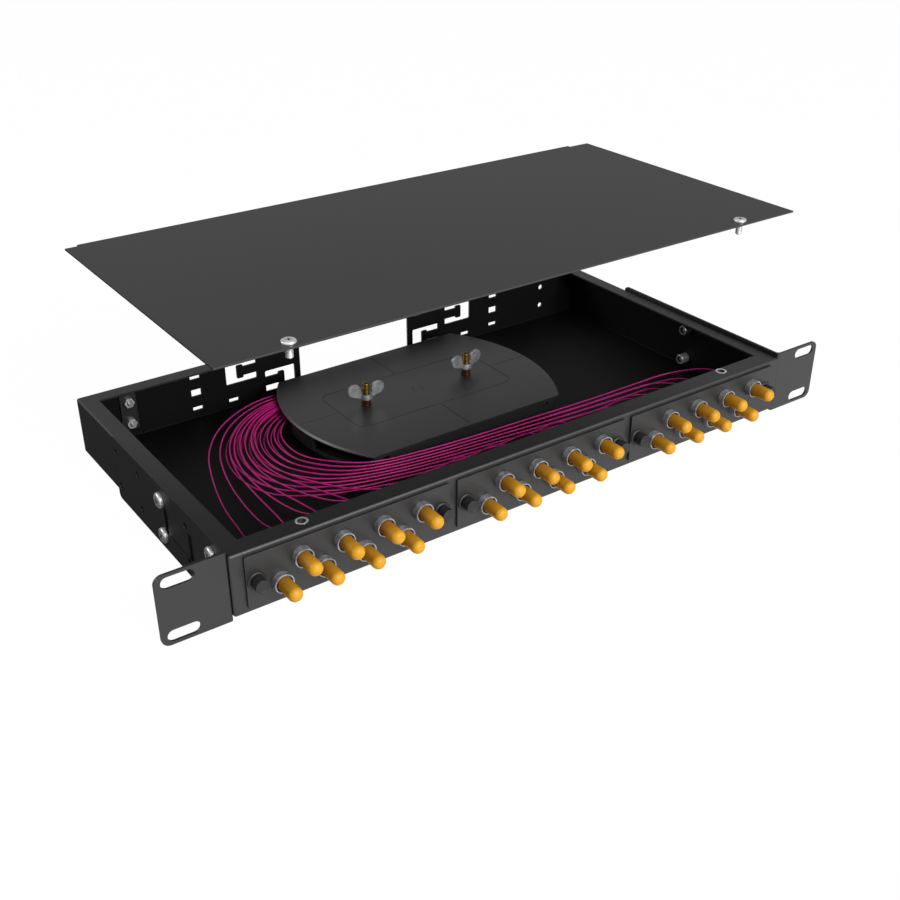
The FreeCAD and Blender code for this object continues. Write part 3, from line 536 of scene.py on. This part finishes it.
def cut_slab(name, outline, thickness):
    """A flat plate in the XZ plane with that outline, centred on Y."""
    piece = draw_line(name, [(x, -thickness / 2, z) for x, z in outline + outline[:1]])
    bpy.ops.mesh.remove_doubles(threshold=MERGE_DISTANCE)
    bpy.ops.mesh.select_all(action="SELECT")
    bpy.ops.mesh.edge_face_add()
    bpy.ops.mesh.extrude_region_move(TRANSFORM_OT_translate={"value": (0.0, thickness * MM, 0.0)})
    merge_and_turn_out()
    return piece


def arc(height, radius, bend, first, last, count=8):
    """Points (height, radius) round a bend of that radius; degrees count from the outward side towards +Z."""
    found = []
    for i in range(count + 1):
        angle = math.radians(between(first, last, i / count))
        found.append((height + bend * math.sin(angle), radius + bend * math.cos(angle)))
    return found


def thread(low, high, radius, pitch, depth):
    """Thread crests and roots along a shank, from low to high."""
    turns = round((high - low) / pitch)
    step = (high - low) / turns
    found = []
    for i in range(turns):
        found += [(low + i * step, radius), (low + (i + 0.5) * step, radius - depth)]
    return found + [(high, radius)]


def towards(place, direction, turn=0.0):
    """The place of a piece that was modelled about +Z at the origin."""
    aim = Vector(direction).to_track_quat("Z", "Y").to_matrix().to_4x4()
    return Matrix.Translation(Vector(place) * MM) @ aim @ Matrix.Rotation(math.radians(turn), 4, "Z")


def join(name, pieces):
    clear_selection()
    for piece in pieces:
        piece.select_set(True)
    bpy.context.view_layer.objects.active = pieces[0]
    bpy.ops.object.join()
    pieces[0].name = name
    pieces[0].data.name = name
    return pieces[0]


def copies(master, places):
    """One copy of the master, with its own mesh, at each place; the master goes."""
    made = []
    for place in places:
        piece = master.copy()
        piece.data = master.data.copy()
        piece.data.transform(place)
        bpy.context.scene.collection.objects.link(piece)
        made.append(piece)
    bpy.data.objects.remove(master)
    return made


def seat_set(name, master, places, body, slot, node):
    """Copies of the master at the places, joined into one piece."""
    seat(join(name, copies(master, places)), body, slot, node)


def seat_each(names, nodes, master, places, slot):
    """Copies of the master at the places, each a piece on the body that bears its node's name."""
    for name, node, piece in zip(names, nodes, copies(master, places)):
        piece.name = name
        seat(piece, node, slot, node)


def subtract(piece, cutter):
    clear_selection()
    apply_modifier(piece, "BOOLEAN", operation="DIFFERENCE", solver="EXACT", object=cutter)
    bpy.data.objects.remove(cutter)


# Fasteners


def cross_cutter(top, span, width, depth):
    """Two crossed wedges, narrower at the bottom, that cut a cross recess."""
    arms = []
    for size in ((span, width), (width, span)):
        clear_selection()
        bpy.ops.mesh.primitive_cube_add(size=MM, location=(0.0, 0.0, top * MM))
        arm = bpy.context.object
        bpy.ops.transform.resize(value=(size[0], size[1], 2 * depth))
        bpy.ops.object.transform_apply(location=True, rotation=True, scale=True)
        for vertex in arm.data.vertices:
            vertex.select = vertex.co.z < top * MM
        for edge in arm.data.edges:
            edge.select = all(arm.data.vertices[i].co.z < top * MM for i in edge.vertices)
        for face in arm.data.polygons:
            face.select = face.normal.z < -0.5
        bpy.ops.object.mode_set(mode="EDIT")
        bpy.ops.transform.resize(value=(RECESS_TAPER, RECESS_TAPER, 1.0), center_override=(0.0, 0.0, 0.0))
        bpy.ops.object.mode_set(mode="OBJECT")
        arms.append(arm)
    clear_selection()
    apply_modifier(arms[0], "BOOLEAN", operation="UNION", solver="EXACT", object=arms[1])
    bpy.data.objects.remove(arms[1])
    return arms[0]


def second_finish(piece, slot, other, is_inside):
    """Gives the faces that is_inside picks, by their centre in mm and their normal, another finish than the
    rest."""
    piece.data.materials.append(finishes[slot])
    piece.data.materials.append(finishes[other])
    for face in piece.data.polygons:
        if is_inside(face.center / MM, face.normal):
            face.material_index = 1


def pan_head_screw(name, sizes):
    """Cross-recess pan-head screw: its seat at the origin, its head above, its thread below."""
    radius, length, head_radius, head_height, pitch = sizes
    crown = [(between(CROWN_LOW, 1.0, h) * head_height, between(CROWN_FLAT, 1.0, r) * head_radius)
             for h, r in arc(0.0, 0.0, 1.0, 0, 90, 8)]
    profile = [(-length, 0.0), (-length, 0.6 * radius)]
    profile += thread(-length + 0.4 * radius, -0.2, radius, pitch, THREAD_DEPTH_SHARE * pitch)
    profile += [(0.0, radius), (0.0, head_radius - 0.25), (0.2, head_radius)]
    profile += crown + [(head_height + 0.05, 0.25 * head_radius), (head_height + HEAD_TOP, 0.0)]
    screw = turn_on_lathe(name, profile)
    subtract(screw, cross_cutter(head_height + HEAD_TOP, RECESS_SPAN * head_radius,
                                 RECESS_WIDTH * head_radius, RECESS_DEPTH * head_height))
    # The faces inside the cross recess take painted shade
    second_finish(screw, "zinc_steel", "dark_recess", lambda centre, normal: (
        centre.z > 0.2 * head_height and math.hypot(centre.x, centre.y) < 0.6 * head_radius
        and (abs(normal.z) < 0.5 or centre.z < 0.8 * head_height)))
    return soften(screw, 0.0, smooth_below=40.0)


def rivet_nut(name, sizes):
    """Rivet nut: its flush flange at the origin, its body below, open at both ends."""
    radius, flange_radius, length = sizes
    bore = M4_RADIUS + THREAD_GAP
    profile = [(0.0, bore + 0.35), (0.0, flange_radius - 0.12), (-0.12, flange_radius),
               (-RIVET_FLANGE, flange_radius), (-RIVET_FLANGE, radius), (0.5 - length, radius),
               (-length, radius - 0.5), (-length, bore + 0.3)]
    profile += thread(-length + 0.3, -0.35, bore, M4_PITCH, -0.22) + [(0.0, bore + 0.35)]
    nut = turn_on_lathe(name, profile)
    # The threaded bore's faces take painted shade
    second_finish(nut, "zinc_steel", "dark_recess",
                  lambda centre, normal: math.hypot(centre.x, centre.y) < bore + 0.3)
    return soften(nut, 0.0, smooth_below=40.0)


def fasten():
    """All screws and rivet nuts, each kind modelled once."""
    ear_places = [(side, y, z) for side in (-1, 1) for y in EAR_SCREW_ROWS_Y for z in EAR_SCREW_ROWS_Z]
    places = [towards((side * SIDE_OUTER_X, y, z), (side, 0, 0), turn)
              for (side, y, z), turn in zip(ear_places, EAR_SCREW_TURNS)]
    seat_set("ear_screw_set", pan_head_screw("ear_screw", EAR_SCREW), places, "panel", "zinc_steel",
             "ear_screws")
    places = [towards((side * HALF_WIDTH, y, z), (side, 0, 0)) for side, y, z in ear_places]
    seat_set("ear_rivet_nut_set", rivet_nut("ear_nut", EAR_NUT), places, "panel", "zinc_steel",
             "ear_rivet_nuts")

    places = [towards(place, UP) for place in both_sides(COVER_SCREW_X, COVER_SCREW_Y, TRAY_TOP_Z)]
    seat_set("cover_rivet_nut_set", rivet_nut("cover_nut", COVER_NUT), places, "panel", "zinc_steel",
             "cover_rivet_nuts")
    places = [towards(place, UP, 20 + place[0] / 4)
              for place in both_sides(COVER_SCREW_X, COVER_SCREW_Y, COVER_TOP_Z)]
    seat_each(["left_cover_screw", "right_cover_screw"], ["cover_screw_left", "cover_screw_right"],
              pan_head_screw("cover_screw", COVER_SCREW), places, "zinc_steel")

    places = [towards((CLAMP_X, BACK_Y, CLAMP_Z + side * CLAMP_PITCH / 2), REARWARD, 30 + 25 * side)
              for side in (-1, 1)]
    seat_set("clamp_screw_set", pan_head_screw("clamp_screw", CLAMP_SCREW), places, "panel", "zinc_steel",
             "cable_clamp_screws")


# Front panel


def caps():
    """Dust caps over the ports, modelled from the open end to the nose."""
    lip = (CAP_RADIUS - CAP_BORE) / 2
    profile = [(CAP_BORE_DEPTH, 0.0), (CAP_BORE_DEPTH, CAP_BORE - 0.4), (CAP_BORE_DEPTH - 0.4, CAP_BORE),
               (0.35, CAP_BORE)]
    profile += arc(0.35, (CAP_BORE + CAP_RADIUS) / 2, lip, 180, 360, 6)[1:]
    profile += [(CAP_SLEEVE, CAP_RADIUS)]
    profile += arc(CAP_LENGTH - CAP_NOSE, CAP_RADIUS - CAP_NOSE, CAP_NOSE, 0, 90, 10)
    profile += [(CAP_LENGTH + 0.05, 0.0)]
    cap = soften(turn_on_lathe("cap", profile, FINE_LATHE_STEPS), 0.0, smooth_below=60.0)
    labels = [str(index + 1).zfill(2) for index, _, _ in ports()]
    seat_each(["amber_cap_" + label for label in labels], ["dust_cap_" + label for label in labels], cap,
              [towards((x, CAP_START_Y, z), FORWARD) for _, x, z in ports()], "amber_vinyl")


def lock_rings():
    """Round lock rings in front of the plates, with painted shade in the recess round each cap."""
    shelf = RING_LENGTH - RING_RECESS_DEPTH
    profile = [(0.0, RING_BORE), (0.0, RING_RADIUS), (RING_LENGTH, RING_RADIUS), (RING_LENGTH, RING_RECESS),
               (shelf, RING_RECESS), (shelf, RING_BORE), (0.0, RING_BORE)]
    ring = soften(turn_on_lathe("ring", profile, FINE_LATHE_STEPS), 0.2, 3)
    # The recess round each cap takes painted shade
    second_finish(ring, "nickel_plate", "dark_recess",
                  lambda centre, normal: math.hypot(centre.x, centre.y) < RING_RECESS + 0.02)
    places = [towards((x, PLATE_FRONT_Y, z), FORWARD) for _, x, z in ports()]
    seat_set("lock_rings", ring, places, "panel", "nickel_plate", "adapter_lock_nuts")


def plungers():
    """Plunger knobs and the grommets that they spread, two to a plate."""
    columns = [plate * PLATE_PITCH + side * PLUNGER_SPAN / 2 for plate in (-1, 0, 1) for side in (-1, 1)]
    knob = soften(turn_on_lathe("knob", KNOB_PROFILE, FINE_LATHE_STEPS), 0.3, 3)
    knob.data.materials.append(finishes["knob_plastic"])
    labels = [str(number) for number in range(1, len(columns) + 1)]
    seat_each(["plunger_knob_" + label for label in labels], ["plunger_" + label for label in labels], knob,
              [towards((x, PLATE_FRONT_Y - GROMMET_FLANGE, 0), FORWARD) for x in columns], "black_plastic")

    grommet = soften(turn_on_lathe("grommet", GROMMET_PROFILE, FINE_LATHE_STEPS), 0.15)
    grommet.data.materials.append(finishes["knob_plastic"])
    places = [towards((x, PLATE_FRONT_Y, 0), FORWARD) for x in columns]
    seat_set("grommet_set", grommet, places, "panel", "black_plastic", "plunger_grommets")


# Splice tray hardware


def wing_outline():
    """Outline of one wing in millimetres: out of the boss, round the lobe and back."""
    lobe_x, lobe_z, lobe = WING_LOBE
    round_lobe = [(x, z) for z, x in arc(lobe_z, lobe_x, lobe, *WING_LOBE_ARC, 14)]
    return [*WING_ROOT, *round_lobe, *WING_SHOULDER]


def cast_wing_nut(name):
    """Cast wing nut: a turned boss and two wings, grown together and smoothed."""
    bore = STUD_RADIUS + THREAD_GAP
    profile = [(0.0, bore), *WING_BOSS, (WING_BOSS[-1][0], bore), (0.0, bore)]
    boss = turn_on_lathe(name, profile, BOSS_LATHE_STEPS)
    outline = wing_outline()
    wings = [cut_slab("wing", [(side * x, z) for x, z in outline], WING_THICKNESS) for side in (1, -1)]
    nut = join(name, [boss] + wings)
    apply_modifier(nut, "REMESH", mode="VOXEL", voxel_size=0.16 * MM)
    apply_modifier(nut, "SMOOTH", factor=0.5, iterations=6)
    return soften(nut, 0.0, smooth_below=180.0)


def splice_hardware():
    """Wing nuts, studs and collars, two of each on the splice tray's centre line."""
    nut = cast_wing_nut("cast_nut")
    nut.data.materials.append(finishes["cast_zinc"])
    places = [towards(place, UP, turn) for place, turn in zip(
        both_sides(STUD_X, TRAY_CENTRE_Y, LID_TOP_Z + COLLAR_HEIGHT), WING_NUT_TURNS)]
    seat_each(["left_wing_nut", "right_wing_nut"], ["wing_nut_left", "wing_nut_right"], nut, places,
              "zinc_steel")

    profile = [(TRAY_FLOOR_Z, 0.0), (TRAY_FLOOR_Z, STUD_RADIUS), (LID_TOP_Z, STUD_RADIUS)]
    profile += thread(LID_TOP_Z + 0.4, STUD_TOP_Z - 2.0, STUD_RADIUS, STUD_THREAD_PITCH, STUD_THREAD_DEPTH)
    profile += arc(STUD_TOP_Z - STUD_DOME, STUD_RADIUS - STUD_DOME, STUD_DOME, 0, 90, 8)
    profile += [(STUD_TOP_Z, 0.0)]
    stud = soften(turn_on_lathe("stud", profile), 0.0, smooth_below=40.0)
    places = [towards(place, UP) for place in both_sides(STUD_X, TRAY_CENTRE_Y)]
    seat_set("brass_studs", stud, places, "panel", "brass", "splice_tray_studs")

    bore = STUD_RADIUS + THREAD_GAP
    profile = [(0.0, bore), (0.0, COLLAR_FLANGE_RADIUS), (COLLAR_FLANGE, COLLAR_FLANGE_RADIUS),
               (COLLAR_FLANGE, COLLAR_RADIUS), (COLLAR_HEIGHT, COLLAR_RADIUS), (COLLAR_HEIGHT, bore),
               (0.0, bore)]
    collar = soften(turn_on_lathe("collar", profile), 0.15)
    collar.data.materials.append(finishes["aged_brass"])
    places = [towards(place, UP) for place in both_sides(STUD_X, TRAY_CENTRE_Y, LID_TOP_Z)]
    seat_set("brass_collars", collar, places, "splice_lid", "brass", "stud_collars")


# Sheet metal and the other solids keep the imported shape, with their edges broken


def edge_break(node, slot, body, width):
    """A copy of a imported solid, its loose triangles merged and its sharp edges rounded a little."""
    clear_selection()
    source = frame["nodes"][node]
    piece = source.copy()
    piece.data = source.data.copy()
    piece.data.materials.clear()
    piece.parent = None
    piece.hide_render = False
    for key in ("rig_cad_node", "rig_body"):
        if key in piece:
            del piece[key]
    piece.name = node + "_finished"
    bpy.context.scene.collection.objects.link(piece)
    piece.select_set(True)
    bpy.context.view_layer.objects.active = piece
    bpy.ops.object.mode_set(mode="EDIT")
    bpy.ops.mesh.select_all(action="SELECT")
    bpy.ops.mesh.remove_doubles(threshold=MERGE_DISTANCE)
    bpy.ops.mesh.dissolve_limited(angle_limit=FLAT_WITHIN)
    bpy.ops.object.mode_set(mode="OBJECT")
    soften(piece, width)
    if node == "chassis_tray":
        middle = Vector(INSIDE_MIDDLE)
        second_finish(piece, slot, "matte_inside", lambda centre, normal: (
            abs(centre.x) < INSIDE_HALF_WIDTH and INSIDE_FRONT_Y < centre.y < INSIDE_BACK_Y
            and centre.z < INSIDE_TOP_Z and (middle - centre).dot(normal) > 0))
    seat(piece, body, slot, node)


# Width of the broken edges in millimetres; round parts are only shaded smooth
EDGES = {"chassis_tray": 0.2, "rack_ear_left": 0.25, "rack_ear_right": 0.25, "cover_plate": 0.2,
         "adapter_plate_left": 0.2, "adapter_plate_centre": 0.2, "adapter_plate_right": 0.2,
         "cable_clamp": 0.2, "cable_clamp_nuts": 0.15, "splice_tray_lid": 0.1, "splice_tray_base": 0.1}


def finish_solids():
    """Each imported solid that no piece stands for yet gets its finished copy, and all take their finish."""
    bodies = frame["record"]["behaviour"]["bodies"]
    body_of_node = {node: body for body, members in bodies.items() for node in members}
    for part in frame["record"]["subparts"]:
        node, slot = part["node"], part["material_slot"]
        packed = frame["nodes"][node]
        if not packed.hide_render and node != "pigtails":
            edge_break(node, slot, body_of_node[node], EDGES.get(node, 0.0))
        packed.data.materials.clear()
        packed.data.materials.append(finishes[slot])


# Pigtails: the same stations as the panel's own routes, as smooth splines
PIGTAIL_RADIUS = 0.45
BOOT_END_Y = 23.62
TURN_OUTER = ((-171.5, 70.0), (-163.0, 103.0), (-150.0, 138.0), (-125.0, 168.5), (-88.0, 186.0))
TURN_INNER = ((-89.0, 80.5), (-104.5, 100.0), (-105.0, 124.0), (-98.0, 142.0), (-84.0, 155.0))
TURN_HEIGHTS = (-3.9, -4.3, -4.9, -5.4, -5.7)
LEFT_PLATE_LANES = (0.0, 0.14, 0.265, 0.325, 0.40, 0.47, 0.555, 0.61)
RUN_FIRST_LANES = (0.38, 0.27, 0.20, 0.20, 0.20)
RUN_STATIONS = ((150.0, 21.5, 57.5), (60.0, 22.0, 58.0), (0.0, 35.0, 60.5), (-50.0, 40.0, 65.5),
                (-72.0, 44.0, 68.4), (-100.0, 47.5, 74.0))
RUN_TURN_FRONT = (-117.0, 56.0)
RUN_TURN_REAR = (-72.0, 68.4)
RUN_HEIGHT = -3.9
RUN_STEP = 40.0
RUN_SWAY = 0.6
RUN_SWAY_LENGTH = 23.0
RUN_LAYER_GAP = 1.18
LAYER_GAP = 2.1
LEFT_EXIT_RUN = 1.5
FRONT_EXIT_RUN = 10.0
FRONT_BEND = (16.0, 2.0)
JOIN_RUN = 42.0
LEFT_BEND_RUN = 20.0
LEFT_BEND_SHARE = 0.4
LEFT_DROP_SHARE = 0.9
ENTRY_X = -60.0
ENTRY_SHARE = 0.6
END_RUN = 11.0
SPLICE_X = -30.0
SPLICE_FIRST_Y = 176.5
SPLICE_PITCH = 3.2
SPLICE_LOW_Z = -9.25


def run_y(x, share):
    """Y of the bundle along the front at x, from its front lane (share 0) to its rear lane (share 1)."""
    for right, left in zip(RUN_STATIONS, RUN_STATIONS[1:]):
        if x >= left[0]:
            break
    part_way = (right[0] - min(x, right[0])) / (right[0] - left[0])
    front, rear = between(right[1], left[1], part_way), between(right[2], left[2], part_way)
    return between(front, rear, share) + RUN_SWAY * math.sin(x / RUN_SWAY_LENGTH)


def front_run(x, z, low, share):
    """Stations from a centre or right boot along the front to the turn."""
    bend_x, join_x = x - FRONT_BEND[0], x - JOIN_RUN
    points = [(x, BOOT_END_Y + FRONT_EXIT_RUN, z),
              (bend_x, run_y(bend_x, share) - FRONT_BEND[1], between(z, low, 0.9))]
    goal_x = between(RUN_TURN_FRONT[0], RUN_TURN_REAR[0], share)
    steps = math.ceil((join_x - goal_x) / RUN_STEP)
    for step in range(steps):
        along_x = between(join_x, goal_x, step / steps)
        points.append((along_x, run_y(along_x, share), low))
    return points + [(goal_x, between(RUN_TURN_FRONT[1], RUN_TURN_REAR[1], share), low)]


def pigtail_points(index, x, z):
    """All stations of one pigtail in millimetres, from its boot to its splice protector."""
    on_left = index < PORT_COUNT
    row, layer = (index, 2) if on_left else divmod(index - PORT_COUNT, 2)
    share = (index - PORT_COUNT) / (2 * PORT_COUNT - 1)
    turn = []
    for outer, inner, height, first in zip(TURN_OUTER, TURN_INNER, TURN_HEIGHTS, RUN_FIRST_LANES):
        lane = LEFT_PLATE_LANES[index] if on_left else between(first, 1, share)
        turn.append((between(outer[0], inner[0], lane), between(outer[1], inner[1], lane),
                     height + (layer - 1) * LAYER_GAP))
    points = [(x, BOOT_END_Y, z)]
    if on_left:
        points += [(x, BOOT_END_Y + LEFT_EXIT_RUN, z),
                   (between(x, turn[0][0], LEFT_BEND_SHARE), BOOT_END_Y + LEFT_BEND_RUN,
                    between(z, turn[0][2], LEFT_DROP_SHARE))]
    else:
        points += front_run(x, z, RUN_HEIGHT + (layer - 1) * RUN_LAYER_GAP, share)
    last = turn[-1]
    end = (SPLICE_X, SPLICE_FIRST_Y - row * SPLICE_PITCH, SPLICE_LOW_Z + layer * LAYER_GAP)
    return points + turn + [
        (ENTRY_X, between(last[1], end[1], ENTRY_SHARE), between(last[2], end[2], ENTRY_SHARE)),
        (end[0] - END_RUN, end[1], end[2]),
        end,
    ]


def pigtails():
    """The whole bundle as one curve object, one spline to a pigtail."""
    curve = bpy.data.curves.new("pigtail_bundle", "CURVE")
    curve.dimensions = "3D"
    curve.bevel_depth = PIGTAIL_RADIUS * MM
    curve.bevel_resolution = 2
    curve.use_fill_caps = True
    curve.resolution_u = 10
    for index, x, z in ports():
        points = pigtail_points(index, x, z)
        spline = curve.splines.new("NURBS")
        spline.points.add(len(points) - 1)
        for knot, point in zip(spline.points, points):
            knot.co = (*[value * MM for value in point], 1.0)
        spline.order_u = 3
        spline.use_endpoint_u = True
    bundle = bpy.data.objects.new("pigtail_bundle", curve)
    bpy.context.scene.collection.objects.link(bundle)
    curve.materials.append(finishes["magenta_fibre_jacket"])
    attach(bundle, "panel")
    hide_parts("pigtails")


# Studio


def lay_floor():
    clear_selection()
    floor_z = cad_box[0][2] - FLOOR_GAP
    bpy.ops.mesh.primitive_plane_add(size=FLOOR_SIZE, location=(0, FLOOR_CENTRE_Y, floor_z))
    floor = bpy.context.object
    floor.name = "studio_floor"
    floor.data.materials.append(floor_finish())


def hang_sky():
    """White for the camera, dimmer to the rear right in reflections, and nearly dark as a light."""
    world = bpy.data.worlds.new("studio")
    bpy.context.scene.world = world
    world.use_nodes = True
    Sock.tree = world.node_tree
    path = Sock.node("LightPath")
    meet = Sock.node("VectorMath", {"operation": "DOT_PRODUCT"})
    Sock.feed(meet.inputs[0], Sock(Sock.node("TexCoord").outputs["Generated"]))
    Sock.feed(meet.inputs[1], SKY_BRIGHT_SIDE)
    toward_left = Sock(meet.outputs["Value"])
    mirrored = between(SKY_DIM, 1.0, (SKY_MIDDLE + SKY_CONTRAST * toward_left).clamp())
    seen = (Sock(path.outputs["Is Camera Ray"]) + mirrored * Sock(path.outputs["Is Glossy Ray"])
            + Sock(path.outputs["Is Transmission Ray"])).clamp()
    back = Sock.tree.nodes["Background"]
    Sock.feed(back.inputs["Color"], WHITE)
    Sock.feed(back.inputs["Strength"], between(SKY_AMBIENT, 1.0, seen))


def hang_lamp(name, azimuth, elevation, size, power):
    """A soft disc lamp that looks at the panel."""
    turn, rise = math.radians(azimuth), math.radians(elevation)
    away = Vector((math.sin(turn) * math.cos(rise), -math.cos(turn) * math.cos(rise), math.sin(rise)))
    light = bpy.data.lights.new(name, "AREA")
    light.shape = "DISK"
    light.size = size
    light.energy = power
    made = bpy.data.objects.new(name, light)
    bpy.context.scene.collection.objects.link(made)
    made.location = Vector(LAMP_TARGET) + away * LAMP_DISTANCE
    made.rotation_euler = away.to_track_quat("Z", "Y").to_euler()


def set_camera():
    camera = bpy.data.cameras.new("photo_camera")
    camera.lens = CAMERA_LENS
    camera.sensor_width = 36.0
    camera.sensor_fit = "AUTO"
    camera.clip_start = 0.01
    view = bpy.data.objects.new("photo_camera", camera)
    view.location = CAMERA_PLACE
    view.rotation_euler = (CAMERA_PITCH, 0.0, CAMERA_YAW)
    bpy.context.scene.collection.objects.link(view)
    bpy.context.scene.camera = view
    bpy.context.scene.view_settings.view_transform = "Standard"


fasten()
caps()
lock_rings()
plungers()
splice_hardware()
finish_solids()
pigtails()
lay_floor()
hang_sky()
for lamp in LAMPS:
    hang_lamp(*lamp)
set_camera()
